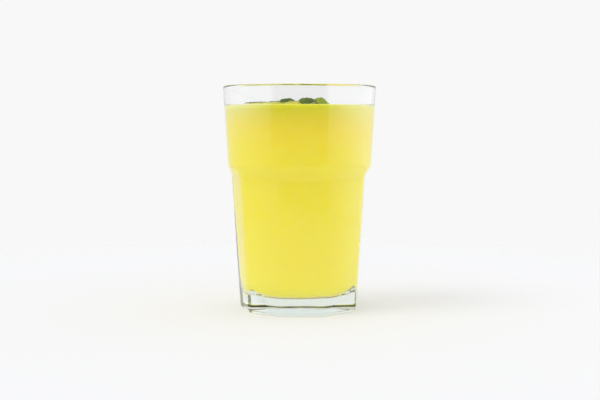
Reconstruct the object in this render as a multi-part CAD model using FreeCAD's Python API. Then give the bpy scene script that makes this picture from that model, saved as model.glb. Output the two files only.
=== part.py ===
"""A glass of lemonade: a pressed tumbler with a smooth bell over nine flats, filled to just
under the bell's mouth, with a citrus slice and three mint leaves floating on the drink.

Units are millimetres. +Z is up, -Y is the front, and the origin is at the middle of the foot,
on the surface that the glass stands on.
"""

import FreeCAD
import Part

import math
import os

# --- Tumbler, outside -------------------------------------------------------------------------
HEIGHT = 126.1
RIM_RADIUS = 42.95
BELL_FOOT_RADIUS = 40.4
SHOULDER_TOP = 82.5
SHOULDER_FOOT = 74.0
FLATS = 9
FLATS_TURN = -5.0  # degrees, of the first flat away from +X
FLAT_TOP = 36.65  # from the axis to the middle of a flat, at the shoulder's foot
FLAT_FOOT = 32.2  # the same, at the surface it stands on
RIDGE_ROUNDING = 10.0
HEEL_RADIUS = 2.2
LIP_ROUNDING = 1.4  # or just under half the wall, where that is less
PUNT_RADIUS = 23.0
PUNT_TOP_RADIUS = 14.0
PUNT_DEPTH = 0.9

# --- Tumbler, inside --------------------------------------------------------------------------
RIM_WALL = 3.0
BELL_WALL = 3.1
BODY_WALL = 3.1  # behind the middle of a flat, at the shoulder's foot
FOOT_WALL = 5.2  # behind the middle of a flat, at the floor
FLOOR_THICKNESS = 9.1
FLOOR_CORNER = 9.0
INNER_SHOULDER_ROUNDING = 9.0

# --- Drink ------------------------------------------------------------------------------------
FILL_BELOW_RIM = 11.0
FILL_LEVEL = HEIGHT - FILL_BELOW_RIM

# --- Citrus slice -----------------------------------------------------------------------------
SLICE_RADIUS = 23.0
SLICE_THICKNESS = 3.6
SLICE_CENTRE = (-8.6, -2.5)
SLICE_TILT = 2.2  # degrees, with the right side up
SLICE_ABOVE_DRINK = 2.0  # from the drink to the middle of the slice's top
RIND_ROUNDING = 0.8
RIND_WIDTH = 2.6
SEGMENTS = 10
SEGMENT_CORE = 2.2
MEMBRANE = 1.1
SEGMENT_DEPTH = 0.25

# --- Mint leaves ------------------------------------------------------------------------------
LEAF_THICKNESS = 0.4
LEAF_SEAT = 0.15  # clearance between a leaf and what it lies on
LEAF_DROOP = 1.1  # how steeply a leaf hangs past the slice's rim
LEAF_ROWS = 28
LEAF_COLUMNS = 8
LEAF_TEETH = 7
# name: length, width, where the stalk starts, heading in degrees from +X, how far the sides
# cup up, how far the tip lifts, and the height of the ruffled edge
LEAVES = {
    "mint_leaf_left": (9.5, 6.4, (-3.0, -20.0), 219.0, 0.4, 1.1, 0.16),
    "mint_leaf_middle": (12.4, 8.4, (6.5, -14.5), 243.0, 0.4, 0.2, 0.18),
    "mint_leaf_right": (12.6, 9.0, (15.5, -8.5), 240.0, 0.4, 0.1, 0.20),
}

UP = FreeCAD.Vector(0, 0, 1)
ORIGIN = FreeCAD.Vector(0, 0, 0)
SECTOR = 2 * math.pi / FLATS
SHOULDER_STEPS = 6
HEEL_STEPS = 4


def between(start, end, share):
    """The value a share of the way from start to end."""
    return start + (end - start) * share


def polar(radius, angle, height):
    return FreeCAD.Vector(radius * math.cos(angle), radius * math.sin(angle), height)


def flat_distance(height):
    """How far a flat's middle stands from the axis, on the straight lower body."""
    return between(FLAT_FOOT, FLAT_TOP, height / SHOULDER_FOOT)


def bell_radius(height):
    return between(BELL_FOOT_RADIUS, RIM_RADIUS, (height - SHOULDER_TOP) / (HEIGHT - SHOULDER_TOP))


# --- Tumbler ----------------------------------------------------------------------------------
def outline(height, flat, rounding, circle=0.0, share=0.0):
    """A closed section of flats and rounded ridges, blended by share into a circle."""
    reach = (flat - rounding) * math.tan(SECTOR / 2)
    corner_turn = math.atan2(reach, flat)
    middle_radius = between(flat, circle, share)
    corner_radius = between(math.hypot(flat, reach), circle, share)
    ridge_radius = between((flat - rounding) / math.cos(SECTOR / 2) + rounding, circle, share)
    edges = []
    for turn in (math.radians(FLATS_TURN) + i * SECTOR for i in range(FLATS)):
        start = polar(corner_radius, turn - corner_turn, height)
        middle = polar(middle_radius, turn, height)
        end = polar(corner_radius, turn + corner_turn, height)
        ridge = polar(ridge_radius, turn + SECTOR / 2, height)
        following = polar(corner_radius, turn + SECTOR - corner_turn, height)
        edges.append(Part.Arc(start, middle, end) if share else Part.LineSegment(start, end))
        edges.append(Part.Arc(end, ridge, following))
    return Part.Wire([edge.toShape() for edge in edges])


def outer_body():
    """The whole outside: heel, tapered flats, shoulder and bell, as one ruled solid."""
    sections = []
    for i in range(HEEL_STEPS):
        angle = math.pi / 2 * i / HEEL_STEPS
        inset = HEEL_RADIUS * (1 - math.sin(angle))
        height = HEEL_RADIUS * (1 - math.cos(angle))
        sections.append(outline(height, flat_distance(height) - inset, RIDGE_ROUNDING - inset))
    sections.append(outline(HEEL_RADIUS, flat_distance(HEEL_RADIUS), RIDGE_ROUNDING))
    for i in range(SHOULDER_STEPS + 1):
        step = i / SHOULDER_STEPS
        height = between(SHOULDER_FOOT, SHOULDER_TOP, step)
        share = step * step * (3 - 2 * step)
        sections.append(outline(height, flat_distance(height), RIDGE_ROUNDING, bell_radius(height), share))
    sections.append(outline(HEIGHT, flat_distance(HEIGHT), RIDGE_ROUNDING, RIM_RADIUS, 1.0))
    return Part.makeLoft(sections, True, True)


def rounded_corner(before, here, after, rounding):
    """Where an arc that rounds a corner starts, passes and ends."""
    back = (before - here).normalize()
    ahead = (after - here).normalize()
    half = back.getAngle(ahead) / 2
    reach = rounding / math.tan(half)
    towards_centre = (back + ahead).normalize()
    middle = here + towards_centre * (rounding / math.sin(half) - rounding)
    return here + back * reach, middle, here + ahead * reach


def revolved(corners):
    """A solid turned from a closed outline of corners: (radius, height, rounding)."""
    points = [FreeCAD.Vector(radius, 0, height) for radius, height, rounding in corners]
    edges = []
    last = points[-1]
    for i, (radius, height, rounding) in enumerate(corners):
        following = points[(i + 1) % len(points)]
        start, middle, end = rounded_corner(points[i - 1], points[i], following, rounding)
        edges.append(Part.LineSegment(last, start))
        if rounding:
            edges.append(Part.Arc(start, middle, end))
        last = end
    return Part.Face(Part.Wire([edge.toShape() for edge in edges])).revolve(ORIGIN, UP, 360)


def bore():
    """The space inside the glass: a floor, a straight taper, a soft shoulder and the bell."""
    foot = flat_distance(FLOOR_THICKNESS) - FOOT_WALL
    return revolved(
        [
            (0, FLOOR_THICKNESS, 0),
            (foot, FLOOR_THICKNESS, FLOOR_CORNER),
            (FLAT_TOP - BODY_WALL, SHOULDER_FOOT, INNER_SHOULDER_ROUNDING),
            (BELL_FOOT_RADIUS - BELL_WALL, SHOULDER_TOP, INNER_SHOULDER_ROUNDING),
            (RIM_RADIUS - RIM_WALL, HEIGHT, 0),
            (0, HEIGHT, 0),
        ]
    )


def punt():
    """The shallow hollow under the foot, which leaves a ring to stand on."""
    return Part.makeCone(PUNT_RADIUS, PUNT_TOP_RADIUS, PUNT_DEPTH)


def tumbler():
    glass = outer_body().cut(bore()).cut(punt())
    rim = [
        edge
        for edge in glass.Edges
        if all(abs(vertex.Z - HEIGHT) < 1e-6 for vertex in edge.Vertexes)
    ]
    return glass.makeFillet(min(LIP_ROUNDING, 0.47 * RIM_WALL), rim)


# --- Citrus slice -----------------------------------------------------------------------------
def on_slice(solid):
    """Moves a solid made with the slice's top at z = 0 to where the slice floats."""
    placed = solid.copy()
    placed.rotate(ORIGIN, FreeCAD.Vector(0, 1, 0), -SLICE_TILT)
    placed.translate(FreeCAD.Vector(*SLICE_CENTRE, FILL_LEVEL + SLICE_ABOVE_DRINK))
    return placed


def slice_blank(headroom=0.0):
    """The slice's disc with its round rind, or that disc grown upward by the room above it."""
    return revolved(
        [
            (0, -SLICE_THICKNESS, 0),
            (SLICE_RADIUS, -SLICE_THICKNESS, RIND_ROUNDING),
            (SLICE_RADIUS, headroom, 0 if headroom else RIND_ROUNDING),
            (0, headroom, 0),
        ]
    )


def segment_pocket(turn):
    """One juice segment's shallow hollow, between its two membranes."""
    outer = SLICE_RADIUS - RIND_WIDTH
    half = math.pi / SEGMENTS - MEMBRANE / 2 / outer
    tip = polar(SEGMENT_CORE + MEMBRANE, turn, -SEGMENT_DEPTH)
    left = polar(outer, turn - half, -SEGMENT_DEPTH)
    right = polar(outer, turn + half, -SEGMENT_DEPTH)
    edges = [
        Part.LineSegment(tip, left),
        Part.Arc(left, polar(outer, turn, -SEGMENT_DEPTH), right),
        Part.LineSegment(right, tip),
    ]
    face = Part.Face(Part.Wire([edge.toShape() for edge in edges]))
    return face.extrude(FreeCAD.Vector(0, 0, 2 * SEGMENT_DEPTH))


def citrus_slice():
    disc = slice_blank()
    for i in range(SEGMENTS):
        disc = disc.cut(segment_pocket(2 * math.pi * i / SEGMENTS))
    return on_slice(disc)


# --- Mint leaves ------------------------------------------------------------------------------
def rest_height(x, y):
    """What a leaf lies on: the slice's top or, past its rim, a slope down to the drink."""
    across = x - SLICE_CENTRE[0]
    beyond = max(math.hypot(across, y - SLICE_CENTRE[1]) - SLICE_RADIUS, 0)
    top = SLICE_ABOVE_DRINK + across * math.tan(math.radians(SLICE_TILT))
    return FILL_LEVEL + max(top - beyond * LEAF_DROOP, 0)


def leaf_half_width(along, width):
    """Half the leaf's width at a share of its length, with rounded teeth along the edge."""
    oval = math.sin(math.pi * along**0.85) ** 0.75
    tooth = 1 - 0.10 * abs(math.cos(math.pi * LEAF_TEETH * along))
    return max(width / 2 * oval * tooth, 0.05 * width)


def leaf_point(leaf, along, across, lift):
    """A point of a leaf's blade: cupped along its midrib, lifted at its tip, ruffled at its edge."""
    length, width, stalk, heading, cup, tip_lift, ruffle = leaf
    turn = math.radians(heading)
    forward = length * along
    aside = leaf_half_width(along, width) * across
    x = stalk[0] + forward * math.cos(turn) - aside * math.sin(turn)
    y = stalk[1] + forward * math.sin(turn) + aside * math.cos(turn)
    height = cup * across**2 * math.sin(math.pi * along) + tip_lift * along**2
    height += ruffle * across**2 * (1 + math.sin(math.pi * LEAF_TEETH * along + across))
    return FreeCAD.Vector(x, y, rest_height(x, y) + LEAF_SEAT + height + lift)


def leaf_grid(leaf, lift):
    return [
        [
            leaf_point(leaf, between(0.02, 0.98, row / LEAF_ROWS), 2 * column / LEAF_COLUMNS - 1, lift)
            for column in range(LEAF_COLUMNS + 1)
        ]
        for row in range(LEAF_ROWS + 1)
    ]


def triangle(a, b, c):
    return Part.Face(Part.makePolygon([a, b, c, a]))


def strip(first, second):
    """The triangles between two rows of points."""
    faces = []
    for i in range(len(first) - 1):
        faces.append(triangle(first[i], second[i], second[i + 1]))
        faces.append(triangle(first[i], second[i + 1], first[i + 1]))
    return faces


def border(grid):
    """The points round a grid's edge, in order, closed."""
    right = [row[-1] for row in grid]
    left = [row[0] for row in grid]
    return grid[0][:-1] + right[:-1] + grid[-1][:0:-1] + left[::-1]


def mint_leaf(leaf):
    """A thin blade between two grids of points."""
    under = leaf_grid(leaf, 0.0)
    over = leaf_grid(leaf, LEAF_THICKNESS)
    faces = strip(border(under), border(over))
    for grid in (under, over):
        for i in range(LEAF_ROWS):
            faces += strip(grid[i], grid[i + 1])
    return Part.Solid(Part.Shell(faces))


# --- Drink ------------------------------------------------------------------------------------
def lemonade():
    """The drink up to its level, cut round the floating slice."""
    below_level = Part.makeCylinder(RIM_RADIUS, FILL_LEVEL)
    return bore().common(below_level).cut(on_slice(slice_blank(SLICE_RADIUS)))


def main():
    os.makedirs("parts", exist_ok=True)
    pieces = {"tumbler": tumbler(), "lemonade": lemonade(), "citrus_slice": citrus_slice()}
    for name, leaf in LEAVES.items():
        pieces[name] = mint_leaf(leaf)
    for name, shape in pieces.items():
        box = shape.BoundBox
        print(f"{name}: valid {shape.isValid()}, {len(shape.Solids)} solid, {shape.Volume:.0f} mm3,",
              f"{box.XLength:.1f} x {box.YLength:.1f} x {box.ZLength:.1f}, top {box.ZMax:.1f}")
        shape.exportStep(f"parts/{name}.step")


if __name__ == "__main__":
    main()
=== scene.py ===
"""The looks of a glass of lemonade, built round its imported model.

A pressed glass tumbler with nine flats holds cloudy lemonade, with a citrus slice and three mint
leaves afloat. Lengths are in metres. +Z is up and -Y is the front.
"""

import math
import random
from collections import namedtuple

import bpy
from bpy.props import FloatProperty, FloatVectorProperty, IntProperty, PointerProperty
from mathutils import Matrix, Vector, noise


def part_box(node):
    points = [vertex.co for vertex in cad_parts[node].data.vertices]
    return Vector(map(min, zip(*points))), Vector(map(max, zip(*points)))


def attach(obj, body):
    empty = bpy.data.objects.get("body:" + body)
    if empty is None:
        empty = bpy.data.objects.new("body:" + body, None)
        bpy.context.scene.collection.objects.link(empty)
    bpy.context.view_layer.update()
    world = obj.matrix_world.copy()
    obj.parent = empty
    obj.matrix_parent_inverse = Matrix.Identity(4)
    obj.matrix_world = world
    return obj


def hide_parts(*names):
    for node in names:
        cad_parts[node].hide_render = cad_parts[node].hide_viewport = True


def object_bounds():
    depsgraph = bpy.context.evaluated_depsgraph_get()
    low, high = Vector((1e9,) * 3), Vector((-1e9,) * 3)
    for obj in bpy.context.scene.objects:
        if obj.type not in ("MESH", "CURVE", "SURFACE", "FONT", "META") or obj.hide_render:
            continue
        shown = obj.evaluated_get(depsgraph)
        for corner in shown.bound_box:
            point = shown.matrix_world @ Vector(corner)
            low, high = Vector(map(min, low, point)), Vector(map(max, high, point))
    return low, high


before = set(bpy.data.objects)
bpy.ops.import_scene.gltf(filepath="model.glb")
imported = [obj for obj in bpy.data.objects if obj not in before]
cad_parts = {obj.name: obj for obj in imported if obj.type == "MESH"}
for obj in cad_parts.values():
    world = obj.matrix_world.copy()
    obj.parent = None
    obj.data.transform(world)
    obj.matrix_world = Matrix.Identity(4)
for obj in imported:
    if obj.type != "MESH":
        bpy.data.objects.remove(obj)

bl_info = {
    "name": "Glass of Lemonade",
    "version": (1, 0, 0),
    "blender": (4, 5, 0),
    "location": "3D View > Sidebar > Lemonade",
    "description": "Builds a tumbler of cloudy lemonade with a citrus slice and mint leaves",
    "category": "Add Mesh",
}

MM = 0.001
SMALLEST_RING = 0.5 * MM
FLOOR_OF_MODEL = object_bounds()[0][2]
TUMBLER_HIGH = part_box("tumbler")[1]
DRINK_LOW, DRINK_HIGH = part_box("lemonade")
SLICE_LOW, SLICE_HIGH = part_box("citrus_slice")
GLASS_IOR = 1.5
DRINK_IOR = 1.333
# Spans from the axis: the painted light on the right side, and the painted garnish shadow giving way to the
# painted reflection at the top.
RIGHT_LIGHT_SPAN = (16 * MM, 34 * MM)
SHADOW_TO_REFLECTION_SPAN = (10 * MM, 34 * MM)


# --- Sizes and colours a user would change ----------------------------------------------------
def number(name, description, default, **limits):
    return FloatProperty(name=name, description=description, default=default, **limits)


def length(name, description, default):
    return number(name, description, default, unit="LENGTH", precision=5)


def degrees(name, description, default):
    return number(name, description, math.radians(default), unit="ROTATION")


def colour(name, description, default):
    return FloatVectorProperty(
        name=name, description=description, default=default, subtype="COLOR", size=3, min=0, max=1
    )


class TumblerSettings(bpy.types.PropertyGroup):
    """Sizes of the glass."""

    height: length("Height", "From the foot to the top of the lip", TUMBLER_HIGH[2])
    rim_radius: length("Rim radius", "Outer radius of the bell, carried up to the lip", 42.93 * MM)
    bell_foot_radius: length("Bell foot radius", "Outer radius of the bell at its foot", 40.4 * MM)
    shoulder_top: length("Shoulder top", "Height where the bell ends", 82.5 * MM)
    shoulder_foot: length("Shoulder foot", "Height where the flats begin", 74 * MM)
    flats: IntProperty(name="Flats", description="Number of flats round the body", default=9, min=3)
    flats_turn: degrees("Turn of the flats", "Turn of the first flat away from +X", -5.0)
    flat_top: length("Flat distance, top", "From the axis to a flat, at its top", 36.65 * MM)
    flat_foot: length("Flat distance, foot", "From the axis to a flat, at the foot", 32.2 * MM)
    ridge_rounding: length("Ridge rounding", "Radius of the ridges between the flats", 10 * MM)
    heel_radius: length("Heel radius", "Rounding between the flats and the foot", 2.2 * MM)
    lip_rounding: length("Lip rounding", "Radius of the lip", 1.45 * MM)
    rim_wall: length("Rim wall", "Wall thickness at the lip", 3 * MM)
    bell_wall: length("Bell wall", "Wall thickness at the bell's foot", 3.1 * MM)
    body_wall: length("Body wall", "Wall thickness behind a flat, at the shoulder's foot", 3.1 * MM)
    foot_wall: length("Foot wall", "Wall thickness behind a flat, at the floor", 5.2 * MM)
    floor_thickness: length("Floor", "Thickness of the glass under the drink", DRINK_LOW[2])
    floor_corner: length("Floor corner", "Inner rounding between wall and floor", 9 * MM)
    shoulder_rounding: length("Inner shoulder rounding", "Inner rounding at the shoulder", 9 * MM)
    punt_radius: length("Punt radius", "Radius of the hollow under the foot", 23 * MM)
    punt_top_radius: length("Punt top radius", "Radius of the hollow's flat top", 14 * MM)
    punt_depth: length("Punt depth", "Depth of the hollow under the foot", 0.9 * MM)
    tint: colour("Tint", "What long paths through the glass keep", (0.05, 0.46, 0.24))


class DrinkSettings(bpy.types.PropertyGroup):
    """Sizes and colours of the lemonade."""

    level: length("Level", "Height of the drink", DRINK_HIGH[2])
    wall_overlap: length("Wall overlap", "How far the drink reaches into the wall", 0.06 * MM)
    meniscus_height: length("Meniscus height", "How far the drink climbs the wall", 0.35 * MM)
    meniscus_width: length("Meniscus width", "How fast the climb dies away from the wall", 1.1 * MM)
    body: colour("Body", "Colour of the drink at mid height", (0.98, 0.79, 0.05))
    foot: colour("Foot", "Colour of the drink near the floor", (0.97, 0.79, 0.095))
    # Painted shadow of the garnish, partly a real greener tint, on the drink just under it.
    head: colour("Head", "Colour of the drink just under the garnish", (0.52, 0.50, 0.012))
    # Painted reflection: the pale top of the drink to each side of the garnish.
    brim_reflection: colour("Brim", "Colour of the drink's top, beside the garnish", (0.70, 0.67, 0.30))
    # Painted light: the paler right side of the drink.
    right_light: colour("Haze", "Colour of the paler right side", (0.88, 0.82, 0.32))
    right_light_amount: number("Haze amount", "How pale the right side is", 0.3, min=0, max=1)
    # The painted garnish shadow fades downwards at this rate.
    shade_depth: length("Shade depth", "How fast the darker head fades downwards", 9 * MM)


class SliceSettings(bpy.types.PropertyGroup):
    """Sizes and colours of the citrus slice."""

    radius: length("Radius", "Radius of the slice", 23 * MM)
    thickness: length("Thickness", "Thickness of the slice", 3.6 * MM)
    tilt: degrees("Tilt", "How far the right side is raised", 2.2)
    above_drink: length("Above the drink", "Height of the slice's middle over the drink", 2 * MM)
    segments: IntProperty(name="Segments", description="Number of juice segments", default=10, min=4)
    rind_width: length("Rind width", "Width of the rind and pith", 2.6 * MM)
    rind_rounding: length("Rind rounding", "Rounding of the rind's edges", 0.8 * MM)
    core: length("Core", "Radius of the pith at the middle", 2.2 * MM)
    membrane: length("Membrane", "Width of the wall between two segments", 1.1 * MM)
    segment_depth: length("Segment depth", "How far the flesh lies below the membranes", 0.25 * MM)
    rind: colour("Rind edge", "Colour of the rind's cut edge", (0.10, 0.12, 0.01))
    peel: colour("Peel", "Colour of the peel round the slice", (0.86, 0.84, 0.10))
    pith: colour("Pith", "Colour of the pith and membranes", (0.80, 0.80, 0.42))
    flesh: colour("Flesh", "Colour of the flesh", (0.60, 0.62, 0.10))


class MintSettings(bpy.types.PropertyGroup):
    """Sizes and colours of the mint leaves."""

    thickness: length("Thickness", "Thickness of a blade", 0.3 * MM)
    droop: number("Droop", "How steeply a leaf hangs past the slice", 1.1)
    teeth: IntProperty(name="Teeth", description="Teeth along each side of a leaf", default=7, min=1)
    dark: colour("Dark leaf", "Colour of the older leaves", (0.085, 0.15, 0.001))
    light: colour("Light leaf", "Colour of the young leaf", (0.30, 0.40, 0.002))
    vein: colour("Vein", "Colour of the veins", (0.24, 0.33, 0.03))


class StageSettings(bpy.types.PropertyGroup):
    """Camera, floor and light."""

    distance: length("Camera distance", "From the glass's axis to the camera", 660 * MM)
    camera_height: length("Camera height", "Height of the camera over the floor", 108.2 * MM)
    camera_aside: length("Camera offset", "How far right of the axis the camera stands", 0.26 * MM)
    aim_down: degrees("Camera tilt", "How far the camera looks down", 4.03)
    lens: number("Lens", "Focal length", 70.2, unit="CAMERA")
    floor_radius: length("Floor radius", "Radius of the pale floor", 450 * MM)
    left_panel: number("Left panel", "Brightness of the left panel", 0.1, min=0)
    right_panel: number("Right panel", "Brightness of the right panel", 0.45, min=0)
    front: number("Front", "Brightness of the dim front", 0.6, min=0)
    studio: number("Studio light", "Strength of the white studio", 0.81, min=0)
    floor_colour: colour("Floor", "Colour of the pale floor", (0.94, 0.945, 0.965))


# --- Meshes -----------------------------------------------------------------------------------
def between(start, end, share):
    return start + (end - start) * share


def smoothstep(share):
    share = min(max(share, 0), 1)
    return share * share * (3 - 2 * share)


def polar(radius, angle, height):
    return Vector((radius * math.cos(angle), radius * math.sin(angle), height))


def mesh_piece(name, points, faces, material_indices=None):
    """A smooth-shaded object from points and faces."""
    mesh = bpy.data.meshes.new(name)
    mesh.from_pydata([tuple(point) for point in points], [], faces)
    mesh.validate()
    mesh.update()
    mesh.polygons.foreach_set("use_smooth", [True] * len(mesh.polygons))
    if material_indices:
        mesh.polygons.foreach_set("material_index", material_indices)
    piece = bpy.data.objects.new(name, mesh)
    bpy.context.scene.collection.objects.link(piece)
    return piece


def skin(rings, closed_start=True):
    """Points and quads over a stack of rings with equal counts, with a fan over each closed end."""
    count = len(rings[0])
    points = [point for ring in rings for point in ring]
    faces = []
    for row in range(len(rings) - 1):
        for i in range(count):
            low, high = row * count + i, row * count + (i + 1) % count
            faces.append((low, high, high + count, low + count))
    ends = ((0, -1), ((len(rings) - 1) * count, 1))
    for first, turn in ends if closed_start else ends[1:]:
        points.append(sum((points[first + i] for i in range(count)), Vector()) / count)
        for i in range(count):
            edge = (first + i, first + (i + 1) % count)
            faces.append((*edge[::turn], len(points) - 1))
    return points, faces


def rounded_path(corners, steps=10):
    """A 2D path through corners (x, y, rounding), with an arc in place of each rounded corner."""
    path = []
    for i, (x, y, rounding) in enumerate(corners):
        here = Vector((x, y))
        if not rounding or i in (0, len(corners) - 1):
            path.append(here)
            continue
        back = (Vector(corners[i - 1][:2]) - here).normalized()
        ahead = (Vector(corners[i + 1][:2]) - here).normalized()
        half = back.angle(ahead) / 2
        inward = (back + ahead).normalized()
        centre = here + inward * (rounding / math.sin(half))
        start = here + back * (rounding / math.tan(half)) - centre
        end = here + ahead * (rounding / math.tan(half)) - centre
        sweep = start.angle_signed(end)
        for step in range(steps + 1):
            turn = -sweep * step / steps
            cosine, sine = math.cos(turn), math.sin(turn)
            x = start.x * cosine - start.y * sine
            y = start.x * sine + start.y * cosine
            path.append(centre + Vector((x, y)))
    return path


def spaced(path, spacing):
    """The same path with extra points on its long runs."""
    result = [path[0]]
    for point in path[1:]:
        runs = max(1, math.ceil((point - result[-1]).length / spacing))
        start = result[-1]
        result += [start.lerp(point, step / runs) for step in range(1, runs + 1)]
    return result


def flat_distance(tumbler, height):
    return between(tumbler.flat_foot, tumbler.flat_top, height / tumbler.shoulder_foot)


def bell_radius(tumbler, height):
    share = (height - tumbler.shoulder_top) / (tumbler.height - tumbler.shoulder_top)
    return between(tumbler.bell_foot_radius, tumbler.rim_radius, share)


def faceted_radius(angle, flat, rounding, flats):
    """The distance to the outline of flats and rounded ridges, at an angle from a flat's middle."""
    half = math.pi / flats
    off_middle = abs((angle + half) % (2 * half) - half)
    if flat * math.tan(off_middle) <= (flat - rounding) * math.tan(half):
        return flat / math.cos(off_middle)
    centre = (flat - rounding) / math.cos(half)
    off_ridge = half - off_middle
    return centre * math.cos(off_ridge) + math.sqrt(rounding**2 - (centre * math.sin(off_ridge)) ** 2)


def outer_ring(tumbler, height, inset, columns):
    """One ring of the body below the bell, drawn in by inset at the heel."""
    shoulder = tumbler.shoulder_top - tumbler.shoulder_foot
    share = smoothstep((height - tumbler.shoulder_foot) / shoulder)
    flat = flat_distance(tumbler, height) - inset
    rounding = tumbler.ridge_rounding - inset
    bell = bell_radius(tumbler, height)
    ring = []
    for i in range(columns):
        angle = 2 * math.pi * i / columns
        from_flat = angle - tumbler.flats_turn
        radius = between(faceted_radius(from_flat, flat, rounding, tumbler.flats), bell, share)
        ring.append(polar(radius, angle, height))
    return ring


def round_ring(radius, height, columns):
    return [polar(radius, 2 * math.pi * i / columns, height) for i in range(columns)]


def bore_path(tumbler, top, overlap=0.0):
    """The inside of the glass from the middle of its floor up to a height, as (radius, height)."""
    foot = flat_distance(tumbler, tumbler.floor_thickness) - tumbler.foot_wall + overlap
    body = tumbler.flat_top - tumbler.body_wall + overlap
    bell = tumbler.bell_foot_radius - tumbler.bell_wall + overlap
    rim = tumbler.rim_radius - tumbler.rim_wall + overlap
    share = (top - tumbler.shoulder_top) / (tumbler.height - tumbler.shoulder_top)
    return rounded_path(
        [
            (SMALLEST_RING, tumbler.floor_thickness - overlap, 0),
            (foot, tumbler.floor_thickness - overlap, tumbler.floor_corner),
            (body, tumbler.shoulder_foot, tumbler.shoulder_rounding),
            (bell, tumbler.shoulder_top, tumbler.shoulder_rounding),
            (between(bell, rim, share), top, 0),
        ]
    )


# --- Materials --------------------------------------------------------------------------------
def new_material(name):
    """An empty node material and its output."""
    material = bpy.data.materials.new(name)
    material.use_nodes = True
    tree = material.node_tree
    tree.nodes.clear()
    return material, tree, tree.nodes.new("ShaderNodeOutputMaterial")


def add(tree, kind, inputs=None, **settings):
    """A node with its settings and inputs. An input is a value or a socket to link from."""
    made = tree.nodes.new(kind)
    for key, value in settings.items():
        setattr(made, key, value)
    for key, value in (inputs or {}).items():
        if isinstance(value, bpy.types.NodeSocket):
            tree.links.new(value, made.inputs[key])
        else:
            made.inputs[key].default_value = value
    return made


def ramp(tree, value, start, end, low=0.0, high=1.0, kind="LINEAR"):
    """A socket that goes from low to high as value goes from start to end."""
    inputs = {"Value": value, "From Min": start, "From Max": end, "To Min": low, "To Max": high}
    return add(tree, "ShaderNodeMapRange", inputs, interpolation_type=kind).outputs["Result"]


def calculate(tree, operation, *values, **settings):
    """A socket with the result of a math node."""
    inputs = dict(enumerate(values))
    return add(tree, "ShaderNodeMath", inputs, operation=operation, **settings).outputs[0]


def blend(tree, share, first, second):
    """A colour socket a share of the way from one colour to another."""
    inputs = {0: share, 6: first, 7: second}
    return add(tree, "ShaderNodeMix", inputs, data_type="RGBA").outputs[2]


def blend_values(tree, share, first, second):
    """A number socket a share of the way from one number to another."""
    inputs = {0: share, 2: first, 3: second}
    return add(tree, "ShaderNodeMix", inputs, data_type="FLOAT").outputs[0]


def rgba(rgb):
    return (*rgb, 1.0)


def new_group(name, inputs, outputs):
    """An empty shader node group with named sockets, and its input and output nodes."""
    group = bpy.data.node_groups.new(name, "ShaderNodeTree")
    for side, sockets in (("INPUT", inputs), ("OUTPUT", outputs)):
        for socket_name, kind, default in sockets:
            socket = group.interface.new_socket(socket_name, in_out=side, socket_type=kind)
            if default is not None:
                socket.default_value = default
    return group, group.nodes.new("NodeGroupInput"), group.nodes.new("NodeGroupOutput")


def object_axes(tree):
    """Sockets with the object's own x, y and z."""
    place = add(tree, "ShaderNodeTexCoord").outputs["Object"]
    return add(tree, "ShaderNodeSeparateXYZ", {0: place}).outputs


def off_axis(tree, x, y):
    """A socket with the distance from the object's Z axis."""
    flat = add(tree, "ShaderNodeCombineXYZ", {"X": x, "Y": y}).outputs[0]
    return add(tree, "ShaderNodeVectorMath", {0: flat}, operation="LENGTH").outputs["Value"]


def cloud(tree, scale, detail):
    """A socket with soft noise over the object."""
    place = add(tree, "ShaderNodeTexCoord").outputs["Object"]
    inputs = {"Vector": place, "Scale": scale, "Detail": detail}
    return add(tree, "ShaderNodeTexNoise", inputs).outputs["Fac"]


def mottle_group():
    """Soft blotches of a second colour over a first, for anything grown or stirred."""
    name = "Mottle"
    if name in bpy.data.node_groups:
        return bpy.data.node_groups[name]
    inputs = [
        ("Base", "NodeSocketColor", None),
        ("Blotch", "NodeSocketColor", None),
        ("Scale", "NodeSocketFloat", 200.0),
        ("Amount", "NodeSocketFloat", 0.5),
    ]
    group, given, result = new_group(name, inputs, [("Color", "NodeSocketColor", None)])
    blotches = ramp(group, cloud(group, given.outputs["Scale"], 3.0), 0.35, 0.65)
    share = calculate(group, "MULTIPLY", blotches, given.outputs["Amount"])
    mixed = blend(group, share, given.outputs["Base"], given.outputs["Blotch"])
    group.links.new(mixed, result.inputs["Color"])
    return group


def ripple_group():
    """A height made of a broad swell and a fine grain, for pressed, wet and grown surfaces."""
    name = "Ripple"
    if name in bpy.data.node_groups:
        return bpy.data.node_groups[name]
    inputs = [
        ("Swell Scale", "NodeSocketFloat", 90.0),
        ("Grain Scale", "NodeSocketFloat", 900.0),
        ("Grain", "NodeSocketFloat", 0.2),
    ]
    group, given, result = new_group(name, inputs, [("Height", "NodeSocketFloat", None)])
    swell = cloud(group, given.outputs["Swell Scale"], 1.0)
    fine = cloud(group, given.outputs["Grain Scale"], 4.0)
    grain = calculate(group, "MULTIPLY", fine, given.outputs["Grain"])
    group.links.new(calculate(group, "ADD", swell, grain), result.inputs["Height"])
    return group


def mottled(tree, base, blotch, scale, amount):
    """A colour socket from the mottle group. base and blotch are colours or sockets."""
    inputs = {"Base": base, "Blotch": blotch, "Scale": scale, "Amount": amount}
    return add(tree, "ShaderNodeGroup", inputs, node_tree=mottle_group()).outputs["Color"]


def bumped(tree, swell_scale, grain_scale, grain, distance):
    """A normal socket from the ripple group."""
    inputs = {"Swell Scale": swell_scale, "Grain Scale": grain_scale, "Grain": grain}
    height = add(tree, "ShaderNodeGroup", inputs, node_tree=ripple_group()).outputs["Height"]
    inputs = {"Height": height, "Distance": distance, "Strength": 1.0}
    return add(tree, "ShaderNodeBump", inputs).outputs["Normal"]


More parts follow.
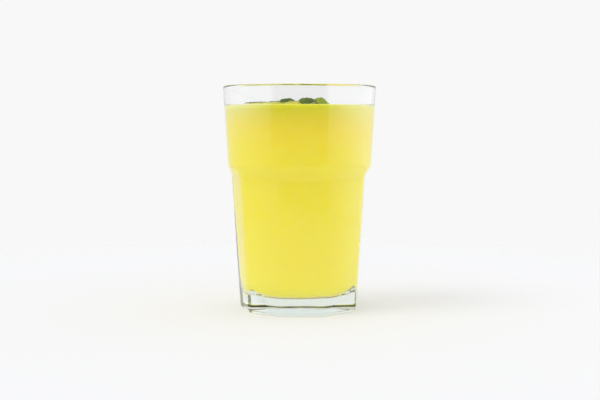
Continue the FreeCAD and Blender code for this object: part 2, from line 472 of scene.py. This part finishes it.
def glass_material(tint):
    """Clear pressed glass with a faint swell, which lets light from the lamps through."""
    material, tree, output = new_material("pressed_glass")
    inputs = {
        "Base Color": (1, 1, 1, 1),
        "Roughness": 0.0,
        "IOR": GLASS_IOR,
        "Transmission Weight": 1.0,
        "Normal": bumped(tree, swell_scale=70.0, grain_scale=400.0, grain=0.05, distance=0.05 * MM),
    }
    glass = add(tree, "ShaderNodeBsdfPrincipled", inputs).outputs[0]
    clear = add(tree, "ShaderNodeBsdfTransparent").outputs[0]
    path = add(tree, "ShaderNodeLightPath").outputs
    through = calculate(tree, "MAXIMUM", path["Is Shadow Ray"], path["Is Diffuse Ray"])
    mix = add(tree, "ShaderNodeMixShader", {0: through, 1: glass, 2: clear}).outputs[0]
    tree.links.new(mix, output.inputs["Surface"])
    depth = add(tree, "ShaderNodeVolumeAbsorption", {"Color": rgba(tint), "Density": 3.0}).outputs[0]
    tree.links.new(depth, output.inputs["Volume"])
    return material


def drink_colour(tree, drink):
    """The drink's colour, with a painted garnish shadow (partly a real greener tint) at the top, a painted
    reflection beside it, paler low down, and painted light on the right.
    """
    x, _, height = object_axes(tree)
    low = ramp(tree, height, 0.5 * drink.level, DRINK_LOW[2])
    body = blend(tree, low, rgba(drink.body), rgba(drink.foot))
    # Painted light: the drink turns paler towards the right side.
    right_light = ramp(tree, x, *RIGHT_LIGHT_SPAN, high=drink.right_light_amount, kind="SMOOTHSTEP")
    lit_body = blend(tree, right_light, body, rgba(drink.right_light))
    # Painted shadow of the garnish: strongest at the top, fading downwards.
    below = calculate(tree, "SUBTRACT", height, drink.level)
    depths = calculate(tree, "DIVIDE", below, drink.shade_depth)
    shade = calculate(tree, "EXPONENT", depths, use_clamp=True)
    # Painted garnish shadow in the middle, painted reflection to each side.
    beside = ramp(tree, calculate(tree, "ABSOLUTE", x), *SHADOW_TO_REFLECTION_SPAN, kind="SMOOTHSTEP")
    return blend(tree, shade, lit_body, blend(tree, beside, rgba(drink.head), rgba(drink.brim_reflection)))


def surface_colour(tree, drink):
    """The drink's colour from above: pale, partly the painted reflection colour, and close to the wall the
    side's colour with its painted shade and light.
    """
    x, y, _ = object_axes(tree)
    radius = off_axis(tree, x, y)
    wall = DRINK_HIGH[0]
    inside = ramp(tree, radius, wall - 1 * MM, wall - 4 * MM, kind="SMOOTHSTEP")
    pale = blend(tree, 0.4, rgba(drink.body), rgba(drink.brim_reflection))
    return blend(tree, inside, drink_colour(tree, drink), pale)


def cloudy_shader(tree, base, specular):
    """The light that spreads under the drink's surface, mottled by fine pulp."""
    pulp_colour = (1, 0.95, 0.45, 1)
    pulp = blend(tree, 0.06, base, pulp_colour)
    inputs = {
        "Base Color": mottled(tree, base, pulp, scale=260.0, amount=0.8),
        "Roughness": 0.05,
        "IOR": DRINK_IOR,
        "Specular IOR Level": specular,
        "Subsurface Weight": 1.0,
        "Subsurface Radius": (0.9, 0.9, 0.3),
        "Subsurface Scale": 20 * MM,
    }
    return add(tree, "ShaderNodeBsdfPrincipled", inputs).outputs[0]


def open_lemonade_material(drink):
    """The drink's own surface, open to the air."""
    material, tree, output = new_material("lemonade_surface")
    tree.links.new(cloudy_shader(tree, surface_colour(tree, drink), specular=0.5), output.inputs["Surface"])
    return material


def walled_lemonade_material(drink):
    """The drink against the glass, which mirrors at glancing angles as glass on water does."""
    material, tree, output = new_material("lemonade_in_glass")
    mirror = add(tree, "ShaderNodeBsdfGlossy", {"Color": (1, 1, 1, 1), "Roughness": 0.0}).outputs[0]
    glance = add(tree, "ShaderNodeFresnel", {"IOR": DRINK_IOR / GLASS_IOR}).outputs[0]
    cloudy = cloudy_shader(tree, drink_colour(tree, drink), specular=0.0)
    mix = add(tree, "ShaderNodeMixShader", {0: glance, 1: cloudy, 2: mirror}).outputs[0]
    tree.links.new(mix, output.inputs["Surface"])
    return material


def slice_masks(tree, slice_):
    """Masks over the slice: the rind, its cut edge, and how far inside a segment."""
    x, y, height = object_axes(tree)
    radius = off_axis(tree, x, y)
    turn = calculate(tree, "ARCTAN2", y, x)
    sector = calculate(tree, "MULTIPLY", turn, slice_.segments / math.tau)
    near_wall = calculate(tree, "PINGPONG", sector, 0.5)
    across = calculate(tree, "MULTIPLY", near_wall, math.tau / slice_.segments)
    to_wall = calculate(tree, "MULTIPLY", across, radius)
    rind = ramp(tree, radius, slice_.radius - 1.3 * MM, slice_.radius - 0.7 * MM)
    pith = slice_.radius - slice_.rind_width
    inner = ramp(tree, radius, pith + 0.3 * MM, pith - 0.3 * MM)
    wall = ramp(tree, to_wall, 0.25 * slice_.membrane, 0.7 * slice_.membrane)
    middle = ramp(tree, radius, slice_.core, slice_.core + slice_.membrane)
    in_segment = calculate(tree, "MULTIPLY", inner, wall)
    flesh = calculate(tree, "MULTIPLY", in_segment, middle)
    half = slice_.thickness / 2
    off_middle = calculate(tree, "ABSOLUTE", calculate(tree, "ADD", height, half))
    edge = ramp(tree, off_middle, half - 0.55 * MM, half - 0.15 * MM)
    return rind, edge, flesh


def slice_material(slice_):
    """A wet citrus slice: oily peel, pale pith and membranes, and glassy juice sacs."""
    material, tree, output = new_material("citrus_slice_wet")
    rind, edge, flesh = slice_masks(tree, slice_)
    sac_colour = (0.86, 0.86, 0.36, 1)
    pore_colour = (0.62, 0.64, 0.06, 1)
    sacs = mottled(tree, rgba(slice_.flesh), sac_colour, scale=420.0, amount=0.8)
    inside = blend(tree, flesh, rgba(slice_.pith), sacs)
    side = mottled(tree, rgba(slice_.peel), pore_colour, scale=300.0, amount=0.7)
    peel = blend(tree, edge, side, rgba(slice_.rind))
    inputs = {
        "Base Color": blend(tree, rind, inside, peel),
        "Roughness": 0.22,
        "IOR": 1.4,
        "Subsurface Weight": 0.6,
        "Subsurface Radius": (1.0, 0.9, 0.3),
        "Subsurface Scale": 1.5 * MM,
        "Coat Weight": 0.5,
        "Coat Roughness": 0.08,
        "Normal": bumped(tree, swell_scale=300.0, grain_scale=1500.0, grain=0.5, distance=0.25 * MM),
    }
    body = add(tree, "ShaderNodeBsdfPrincipled", inputs).outputs[0]
    tree.links.new(body, output.inputs["Surface"])
    return material


def mint_material(name, blade, vein):
    """A mint leaf: quilted, with a paler midrib and side veins stored on the mesh."""
    material, tree, output = new_material(name)
    stored = add(tree, "ShaderNodeAttribute", attribute_name="vein").outputs["Fac"]
    shaded = (*(0.55 * value for value in blade), 1.0)
    green = mottled(tree, rgba(blade), shaded, scale=700.0, amount=0.7)
    inputs = {
        "Base Color": blend(tree, stored, green, rgba(vein)),
        "Roughness": 0.5,
        "IOR": 1.42,
        "Specular IOR Level": 0.05,
        "Subsurface Weight": 0.35,
        "Subsurface Radius": (0.5, 1.0, 0.15),
        "Subsurface Scale": 0.6 * MM,
        "Normal": bumped(tree, swell_scale=900.0, grain_scale=4000.0, grain=0.3, distance=0.15 * MM),
    }
    leaf = add(tree, "ShaderNodeBsdfPrincipled", inputs).outputs[0]
    tree.links.new(leaf, output.inputs["Surface"])
    return material


# --- Pieces -----------------------------------------------------------------------------------
def seat(piece, nodes):
    """Puts a piece on the one body, in place of its CAD nodes."""
    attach(piece, "root")
    if nodes:
        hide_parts(*nodes)


class LEMONADE_OT_tumbler(bpy.types.Operator):
    """Build the pressed glass tumbler"""

    bl_idname = "lemonade.tumbler"
    bl_label = "Tumbler"

    def execute(self, context):
        tumbler = context.scene.lemonade_tumbler
        columns = 40 * tumbler.flats
        rings = self.foot(tumbler, columns) + self.outside(tumbler, columns)
        rings += self.lip(tumbler, columns) + self.inside(tumbler, columns)
        piece = mesh_piece("glass_tumbler", *skin(rings))
        piece.data.materials.append(glass_material(tumbler.tint))
        seat(piece, ["tumbler"])
        return {"FINISHED"}

    def foot(self, tumbler, columns):
        """The hollow under the foot, from its middle out to the ring the glass stands on."""
        path = [
            Vector((SMALLEST_RING, tumbler.punt_depth)),
            Vector((tumbler.punt_top_radius, tumbler.punt_depth)),
            Vector((tumbler.punt_radius, 0)),
        ]
        path = spaced(path, spacing=1.5 * MM)
        return [round_ring(radius, height, columns) for radius, height in path]

    def outside(self, tumbler, columns):
        """The heel, the flats, the shoulder and the bell."""
        rings = []
        land = outer_ring(tumbler, 0, tumbler.heel_radius, columns)
        hollow = [polar(tumbler.punt_radius, math.atan2(point.y, point.x), 0) for point in land]
        for share in (0.25, 0.5, 0.75):
            rings.append([between(start, end, share) for start, end in zip(hollow, land)])
        steps = 12
        for step in range(steps + 1):
            angle = math.pi / 2 * step / steps
            height = tumbler.heel_radius * (1 - math.cos(angle))
            inset = tumbler.heel_radius * (1 - math.sin(angle))
            rings.append(outer_ring(tumbler, height, inset, columns))
        lip_foot = tumbler.height - tumbler.lip_rounding
        for start, end, count in (
            (tumbler.heel_radius, tumbler.shoulder_foot, 34),
            (tumbler.shoulder_foot, tumbler.shoulder_top, 22),
            (tumbler.shoulder_top, lip_foot, 26),
        ):
            for step in range(1, count + 1):
                rings.append(outer_ring(tumbler, between(start, end, step / count), 0, columns))
        return rings

    def lip(self, tumbler, columns):
        """The rounded lip, over the top from outside to inside."""
        height = tumbler.height - tumbler.lip_rounding
        outer = bell_radius(tumbler, height)
        inner = outer - tumbler.rim_wall
        steps = 10
        rings = []
        for step in range(1, steps + 1):
            angle = math.pi / 2 * step / steps
            radius = outer - tumbler.lip_rounding * (1 - math.cos(angle))
            rings.append(round_ring(radius, height + tumbler.lip_rounding * math.sin(angle), columns))
        for step in range(steps + 1):
            angle = math.pi / 2 * (1 - step / steps)
            radius = inner + tumbler.lip_rounding * (1 - math.cos(angle))
            rings.append(round_ring(radius, height + tumbler.lip_rounding * math.sin(angle), columns))
        return rings

    def inside(self, tumbler, columns):
        """The bore, from the lip down to the middle of the floor."""
        path = bore_path(tumbler, tumbler.height - tumbler.lip_rounding)
        path = spaced(path, spacing=2 * MM)[-2::-1]
        return [round_ring(radius, height, columns) for radius, height in path]


class LEMONADE_OT_drink(bpy.types.Operator):
    """Pour the cloudy lemonade, which reaches just into the wall"""

    bl_idname = "lemonade.drink"
    bl_label = "Lemonade"

    def execute(self, context):
        tumbler, drink = context.scene.lemonade_tumbler, context.scene.lemonade_drink
        columns = 180
        edge_height = drink.level + drink.meniscus_height
        path = spaced(bore_path(tumbler, edge_height, drink.wall_overlap), spacing=2.5 * MM)
        sides = [round_ring(radius, height, columns) for radius, height in path]
        surface = self.surface(sides[-1][0].x, drink, columns)
        points, faces = skin(sides + surface)
        side_faces = (len(sides) - 1) * columns
        top_faces = len(surface) * columns
        indices = [0] * side_faces + [1] * top_faces + [0] * columns + [1] * columns
        piece = mesh_piece("lemonade_fill", points, faces, indices)
        piece.data.materials.append(walled_lemonade_material(drink))
        piece.data.materials.append(open_lemonade_material(drink))
        seat(piece, ["lemonade"])
        return {"FINISHED"}

    def surface(self, edge_radius, drink, columns):
        """The drink's top, which climbs the wall and lies almost flat inside it."""
        rings = []
        steps = 40
        crowding = 1.6
        swell, swell_scale = 0.05 * MM, 120
        for step in range(1, steps):
            radius = edge_radius * (1 - (step / steps) ** crowding)
            climb = drink.meniscus_height * math.exp(-(edge_radius - radius) / drink.meniscus_width)
            ring = round_ring(radius, drink.level + climb, columns)
            level_share = 1 - climb / drink.meniscus_height
            for point in ring:
                point.z += swell * noise.noise(point * swell_scale) * level_share
            rings.append(ring)
        return rings


class LEMONADE_OT_slice(bpy.types.Operator):
    """Float the citrus slice"""

    bl_idname = "lemonade.slice"
    bl_label = "Citrus slice"

    def execute(self, context):
        slice_, drink = context.scene.lemonade_slice, context.scene.lemonade_drink
        columns = 24 * slice_.segments
        rings = self.half(slice_, columns, -1) + self.half(slice_, columns, 1)[::-1]
        piece = mesh_piece("citrus_slice_cut", *skin(rings))
        piece.location = slice_centre(slice_, drink)
        piece.rotation_euler = (0, -slice_.tilt, 0)
        piece.data.materials.append(slice_material(slice_))
        seat(piece, ["citrus_slice"])
        return {"FINISHED"}

    def half(self, slice_, columns, side):
        """One face of the slice, from its middle out to the rind and round it to mid thickness."""
        middle = -slice_.thickness / 2
        face = middle + side * slice_.thickness / 2
        rings = []
        inner = slice_.radius - slice_.rind_rounding
        angles = [2 * math.pi * i / columns for i in range(columns)]
        steps, bend_steps = 44, 6
        for step in range(1, steps + 1):
            radius = inner * step / steps
            rings.append([self.face_point(slice_, radius, angle, face, side) for angle in angles])
        for step in range(1, bend_steps + 1):
            angle = math.pi / 2 * step / bend_steps
            radius = inner + slice_.rind_rounding * math.sin(angle)
            height = face - side * slice_.rind_rounding * (1 - math.cos(angle))
            rings.append(round_ring(radius, height, columns))
        return rings

    def face_point(self, slice_, radius, angle, face, side):
        """A point on a cut face, sunk where it is flesh."""
        pitch = 2 * math.pi / slice_.segments
        to_wall = abs((angle + pitch / 2) % pitch - pitch / 2) * radius
        inside = smoothstep((to_wall - 0.25 * slice_.membrane) / (0.45 * slice_.membrane))
        inside *= smoothstep((slice_.radius - slice_.rind_width + 0.3 * MM - radius) / (0.6 * MM))
        inside *= smoothstep((radius - slice_.core) / slice_.membrane)
        point = polar(radius, angle, face)
        sac = noise.noise(Vector((radius * 350, angle * 9, side)))
        point.z -= side * slice_.segment_depth * inside * (1 + 0.5 * sac)
        return point


def slice_centre(slice_, drink):
    """The middle of the slice's top, from the middle of its CAD node."""
    x = (SLICE_LOW[0] + SLICE_HIGH[0]) / 2
    y = (SLICE_LOW[1] + SLICE_HIGH[1]) / 2
    lean = slice_.thickness / 2 * math.sin(slice_.tilt)
    return Vector((x - lean, y, drink.level + slice_.above_drink))


def rest_height(x, y, scene):
    """What a leaf lies on: the slice's top or, past its rim, a slope down to the drink."""
    slice_, drink = scene.lemonade_slice, scene.lemonade_drink
    centre = slice_centre(slice_, drink)
    beyond = max(math.hypot(x - centre.x, y - centre.y) - slice_.radius, 0)
    top = slice_.above_drink + (x - centre.x) * math.tan(slice_.tilt)
    return drink.level + max(top - beyond * scene.lemonade_mint.droop, 0)


Leaf = namedtuple("Leaf", "length width stalk heading arch tip_lift ruffle colour")

# Lengths are in millimetres, and headings are in degrees from +X.
LEAVES = {
    "mint_leaf_left": Leaf(9.5, 6.4, (-3.0, -20.0), 219.0, 0.9, 0.1, 0.1, "dark"),
    "mint_leaf_middle": Leaf(12.4, 8.4, (6.5, -14.5), 243.0, 0.8, 0.1, 0.12, "dark"),
    "mint_leaf_right": Leaf(12.6, 9.0, (15.5, -8.5), 240.0, 0.8, 0.1, 0.12, "light"),
}
TOOTH_DEPTH = 0.22
VEIN_SLANT = 0.22
QUILT_HEIGHT = 0.16
CRUMPLE_HEIGHT, CRUMPLE_SCALE = 0.45, 0.55
LEAF_GAP = 0.03


class LEMONADE_OT_mint(bpy.types.Operator):
    """Lay the mint leaves on the slice"""

    bl_idname = "lemonade.mint"
    bl_label = "Mint leaves"

    def execute(self, context):
        mint = context.scene.lemonade_mint
        materials = {
            "dark": mint_material("mint_leaf_dark", mint.dark, mint.vein),
            "light": mint_material("mint_leaf_light", mint.light, mint.vein),
        }
        for node, leaf in LEAVES.items():
            piece = self.blade(context.scene, node, leaf)
            piece.data.materials.append(materials[leaf.colour])
            seat(piece, [node])
        return {"FINISHED"}

    def blade(self, scene, node, leaf):
        """A closed thin blade with its vein mask."""
        rows, columns = 84, 24
        mint = scene.lemonade_mint
        top, under, veins = [], [], []
        for row in range(rows + 1):
            along = between(0.01, 0.99, row / rows)
            for column in range(columns + 1):
                across = 2 * column / columns - 1
                point, vein = self.point(scene, leaf, along, across)
                top.append(point + Vector((0, 0, mint.thickness)))
                under.append(point)
                veins.append(vein)
        count = len(top)
        width = columns + 1
        faces = []
        for row in range(rows):
            for column in range(columns):
                first = row * width + column
                quad = (first, first + width, first + width + 1, first + 1)
                faces.append(quad)
                faces.append(tuple(corner + count for corner in quad[::-1]))
        rim = list(range(columns)) + [row * width + columns for row in range(rows)]
        rim += [rows * width + column for column in range(columns, 0, -1)]
        rim += [row * width for row in range(rows, 0, -1)]
        for here, following in zip(rim, rim[1:] + rim[:1]):
            faces.append((here, following, following + count, here + count))
        piece = mesh_piece(node + "_blade", top + under, faces)
        mask = piece.data.attributes.new("vein", "FLOAT", "POINT")
        mask.data.foreach_set("value", veins * 2)
        return piece

    def point(self, scene, leaf, along, across):
        """A point of the blade's underside and how much of it is vein."""
        teeth = scene.lemonade_mint.teeth
        turn = math.radians(leaf.heading)
        oval = math.sin(math.pi * along**0.85) ** 0.75
        tooth = 1 - TOOTH_DEPTH * abs(math.cos(math.pi * teeth * along))
        narrowest = 0.02 * leaf.width
        aside = max(leaf.width / 2 * oval * tooth, narrowest) * across
        forward = leaf.length * along
        x = leaf.stalk[0] + forward * math.cos(turn) - aside * math.sin(turn)
        y = leaf.stalk[1] + forward * math.sin(turn) + aside * math.cos(turn)
        height = leaf.arch * (1 - across**2) * math.sin(math.pi * along) + leaf.tip_lift * along**2
        height += leaf.ruffle * across**2 * (1 + math.sin(math.pi * teeth * along + across))
        crumple = abs(noise.noise(Vector((x * CRUMPLE_SCALE, y * CRUMPLE_SCALE, leaf.width))))
        height += CRUMPLE_HEIGHT * crumple * (1 - across**6)
        slanted = along - VEIN_SLANT * abs(across)
        side_vein = abs((teeth * slanted + 0.5) % 1 - 0.5) * 2
        vein = max(smoothstep(1 - abs(across) * 9), 0.7 * smoothstep(1 - side_vein * 4))
        quilt = QUILT_HEIGHT * (1 - vein) * abs(math.sin(math.pi * teeth * slanted))
        height += LEAF_GAP + quilt * (1 - across**2)
        return Vector((x * MM, y * MM, rest_height(x * MM, y * MM, scene) + height * MM)), vein


FLECKS = 26


class LEMONADE_OT_flecks(bpy.types.Operator):
    """Scatter the small torn bits of leaf along the slice's rim"""

    bl_idname = "lemonade.flecks"
    bl_label = "Leaf flecks"

    def execute(self, context):
        scene = context.scene
        pick = random.Random(11)
        centre = slice_centre(scene.lemonade_slice, scene.lemonade_drink)
        points, faces = [], []
        for _ in range(FLECKS):
            turn = math.radians(pick.uniform(180, 262))
            radius = scene.lemonade_slice.radius - pick.uniform(0.4, 4.0) * MM
            place = centre + polar(radius, turn, 0)
            place.z = rest_height(place.x, place.y, scene) + 0.05 * MM
            self.fleck(points, faces, place, pick)
        piece = mesh_piece("mint_flecks", points, faces)
        piece.data.materials.append(bpy.data.materials["mint_leaf_dark"])
        seat(piece, [])
        return {"FINISHED"}

    def fleck(self, points, faces, place, pick):
        """One thin, uneven chip of leaf with a pointed outline."""
        corners = 7
        stretch = 1.6
        size = pick.uniform(0.25, 0.6) * MM
        spin = pick.uniform(0, math.tau)
        first = len(points)
        outline = []
        for i in range(corners):
            angle = spin + math.tau * i / corners
            reach = size * pick.uniform(0.6, 1.3)
            lift = pick.uniform(0, 0.12) * MM
            outline.append(Vector((reach * math.cos(angle) * stretch, reach * math.sin(angle), lift)))
        thick = Vector((0, 0, 0.16 * MM))
        points += [place + corner for corner in outline]
        points += [place + corner + thick for corner in outline]
        faces.append(tuple(first + i for i in range(corners))[::-1])
        faces.append(tuple(first + corners + i for i in range(corners)))
        for i in range(corners):
            j = (i + 1) % corners
            faces.append((first + i, first + j, first + corners + j, first + corners + i))


# --- Stage ------------------------------------------------------------------------------------
# Where the studio's light changes: turns away from the back, then parts of a unit direction.
PANEL_TURNS = (math.radians(25), math.radians(60))
FRONT_TURNS = (math.radians(134), math.radians(137))
PANEL_FOOT = (-0.17, -0.09)
LEFT_TO_RIGHT = (-0.3, 0.3)
FRONT_HEIGHTS = (0.12, 0.3)
OVERHEAD_HEIGHTS = (0.5, 0.75)
SIDES_LIGHT = 1.1
HIGH_FRONT_LIGHT = 1.5
OVERHEAD_LIGHT = 0.95


class LEMONADE_OT_stage(bpy.types.Operator):
    """Set the floor, the soft studio light and the camera"""

    bl_idname = "lemonade.stage"
    bl_label = "Stage"

    def execute(self, context):
        scene = context.scene
        self.floor(scene.lemonade_stage)
        self.surroundings(scene)
        self.key_light()
        self.camera(scene)
        scene.view_settings.view_transform = "Standard"
        return {"FINISHED"}

    def floor(self, stage):
        """A pale floor that fades out into the backdrop."""
        columns, steps = 96, 12
        radii = [stage.floor_radius * (1 - step / steps) for step in range(steps)]
        rings = [round_ring(radius, FLOOR_OF_MODEL, columns) for radius in radii]
        floor = mesh_piece("pale_floor", *skin(rings, closed_start=False))
        material, tree, output = new_material("pale_floor")
        place = add(tree, "ShaderNodeTexCoord").outputs["Object"]
        radius = add(tree, "ShaderNodeVectorMath", {0: place}, operation="LENGTH").outputs["Value"]
        clear_from, solid_to = 0.95 * stage.floor_radius, 0.45 * stage.floor_radius
        near = ramp(tree, radius, clear_from, solid_to, kind="SMOOTHSTEP")
        inputs = {"Base Color": rgba(stage.floor_colour), "Roughness": 0.9, "Alpha": near}
        paint = add(tree, "ShaderNodeBsdfPrincipled", inputs)
        tree.links.new(paint.outputs[0], output.inputs["Surface"])
        floor.data.materials.append(material)

    def surroundings(self, scene):
        """A white studio: a bright panel at each side, a dim front and a pale background."""
        stage = scene.lemonade_stage
        world = bpy.data.worlds.new("white_studio")
        world.use_nodes = True
        tree = world.node_tree
        tree.nodes.clear()
        direction = add(tree, "ShaderNodeTexCoord").outputs["Generated"]
        axes = add(tree, "ShaderNodeSeparateXYZ", {0: direction})
        across, height = axes.outputs["X"], axes.outputs["Z"]
        turn = calculate(tree, "ARCTAN2", across, axes.outputs["Y"])
        from_back = calculate(tree, "ABSOLUTE", turn)
        aside = ramp(tree, from_back, *PANEL_TURNS)
        in_front = ramp(tree, from_back, *FRONT_TURNS)
        lifted = ramp(tree, height, *PANEL_FOOT, kind="SMOOTHSTEP")
        panel = ramp(tree, across, *LEFT_TO_RIGHT, stage.left_panel, stage.right_panel)
        sides = calculate(
            tree, "MULTIPLY_ADD", calculate(tree, "MULTIPLY", aside, lifted), panel, SIDES_LIGHT
        )
        front = ramp(tree, height, *FRONT_HEIGHTS, stage.front, HIGH_FRONT_LIGHT)
        round_about = blend_values(tree, in_front, sides, front)
        overhead = ramp(tree, height, *OVERHEAD_HEIGHTS)
        light = blend_values(tree, overhead, round_about, OVERHEAD_LIGHT)
        strength = calculate(tree, "MULTIPLY", light, stage.studio)
        studio = add(tree, "ShaderNodeBackground", {"Color": (1, 1, 1, 1), "Strength": strength})
        backdrop = add(tree, "ShaderNodeBackground", {"Color": (0.94, 0.94, 0.94, 1), "Strength": 1.0})
        path = add(tree, "ShaderNodeLightPath")
        inputs = {0: path.outputs["Is Camera Ray"], 1: studio.outputs[0], 2: backdrop.outputs[0]}
        mix = add(tree, "ShaderNodeMixShader", inputs)
        output = add(tree, "ShaderNodeOutputWorld")
        tree.links.new(mix.outputs[0], output.inputs["Surface"])
        scene.world = world

    def key_light(self):
        """A soft lamp from the left, for the faint shadow on the right."""
        data = bpy.data.lights.new("soft_key", "SUN")
        data.angle = math.radians(30)
        data.energy = 0.5
        lamp = bpy.data.objects.new("soft_key", data)
        shines_along = Vector((0.75, 0.35, -1.0))
        lamp.rotation_euler = shines_along.to_track_quat("-Z", "Y").to_euler()
        bpy.context.scene.collection.objects.link(lamp)

    def camera(self, scene):
        """A camera in front of the glass, a little below its lip and looking slightly down."""
        stage = scene.lemonade_stage
        data = bpy.data.cameras.new("front_camera")
        data.lens = stage.lens
        data.sensor_width = 36
        data.clip_start = 0.01
        camera = bpy.data.objects.new("front_camera", data)
        camera.location = (stage.camera_aside, -stage.distance, stage.camera_height)
        camera.rotation_euler = (math.pi / 2 - stage.aim_down, 0, 0)
        scene.collection.objects.link(camera)
        scene.camera = camera


# --- Panel and registration -------------------------------------------------------------------
SETTINGS = {
    "lemonade_tumbler": TumblerSettings,
    "lemonade_drink": DrinkSettings,
    "lemonade_slice": SliceSettings,
    "lemonade_mint": MintSettings,
    "lemonade_stage": StageSettings,
}
OPERATORS = (
    LEMONADE_OT_tumbler,
    LEMONADE_OT_drink,
    LEMONADE_OT_slice,
    LEMONADE_OT_mint,
    LEMONADE_OT_flecks,
    LEMONADE_OT_stage,
)


class LEMONADE_PT_panel(bpy.types.Panel):
    """Lists the pieces and their sizes"""

    bl_label = "Glass of Lemonade"
    bl_idname = "LEMONADE_PT_panel"
    bl_space_type = "VIEW_3D"
    bl_region_type = "UI"
    bl_category = "Lemonade"

    def draw(self, context):
        for operator in OPERATORS:
            self.layout.operator(operator.bl_idname)
        for name in SETTINGS:
            box = self.layout.box()
            group = getattr(context.scene, name)
            for setting in group.bl_rna.properties.keys():
                if setting not in ("rna_type", "name"):
                    box.prop(group, setting)


def register():
    for cls in (*SETTINGS.values(), *OPERATORS, LEMONADE_PT_panel):
        bpy.utils.register_class(cls)
    for name, cls in SETTINGS.items():
        setattr(bpy.types.Scene, name, PointerProperty(type=cls))


def unregister():
    for name in SETTINGS:
        delattr(bpy.types.Scene, name)
    for cls in (LEMONADE_PT_panel, *OPERATORS[::-1], *list(SETTINGS.values())[::-1]):
        bpy.utils.unregister_class(cls)


def main():
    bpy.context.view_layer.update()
    register()
    for operator in OPERATORS:
        group, name = operator.bl_idname.split(".")
        getattr(getattr(bpy.ops, group), name)()


if __name__ == "__main__":
    main()
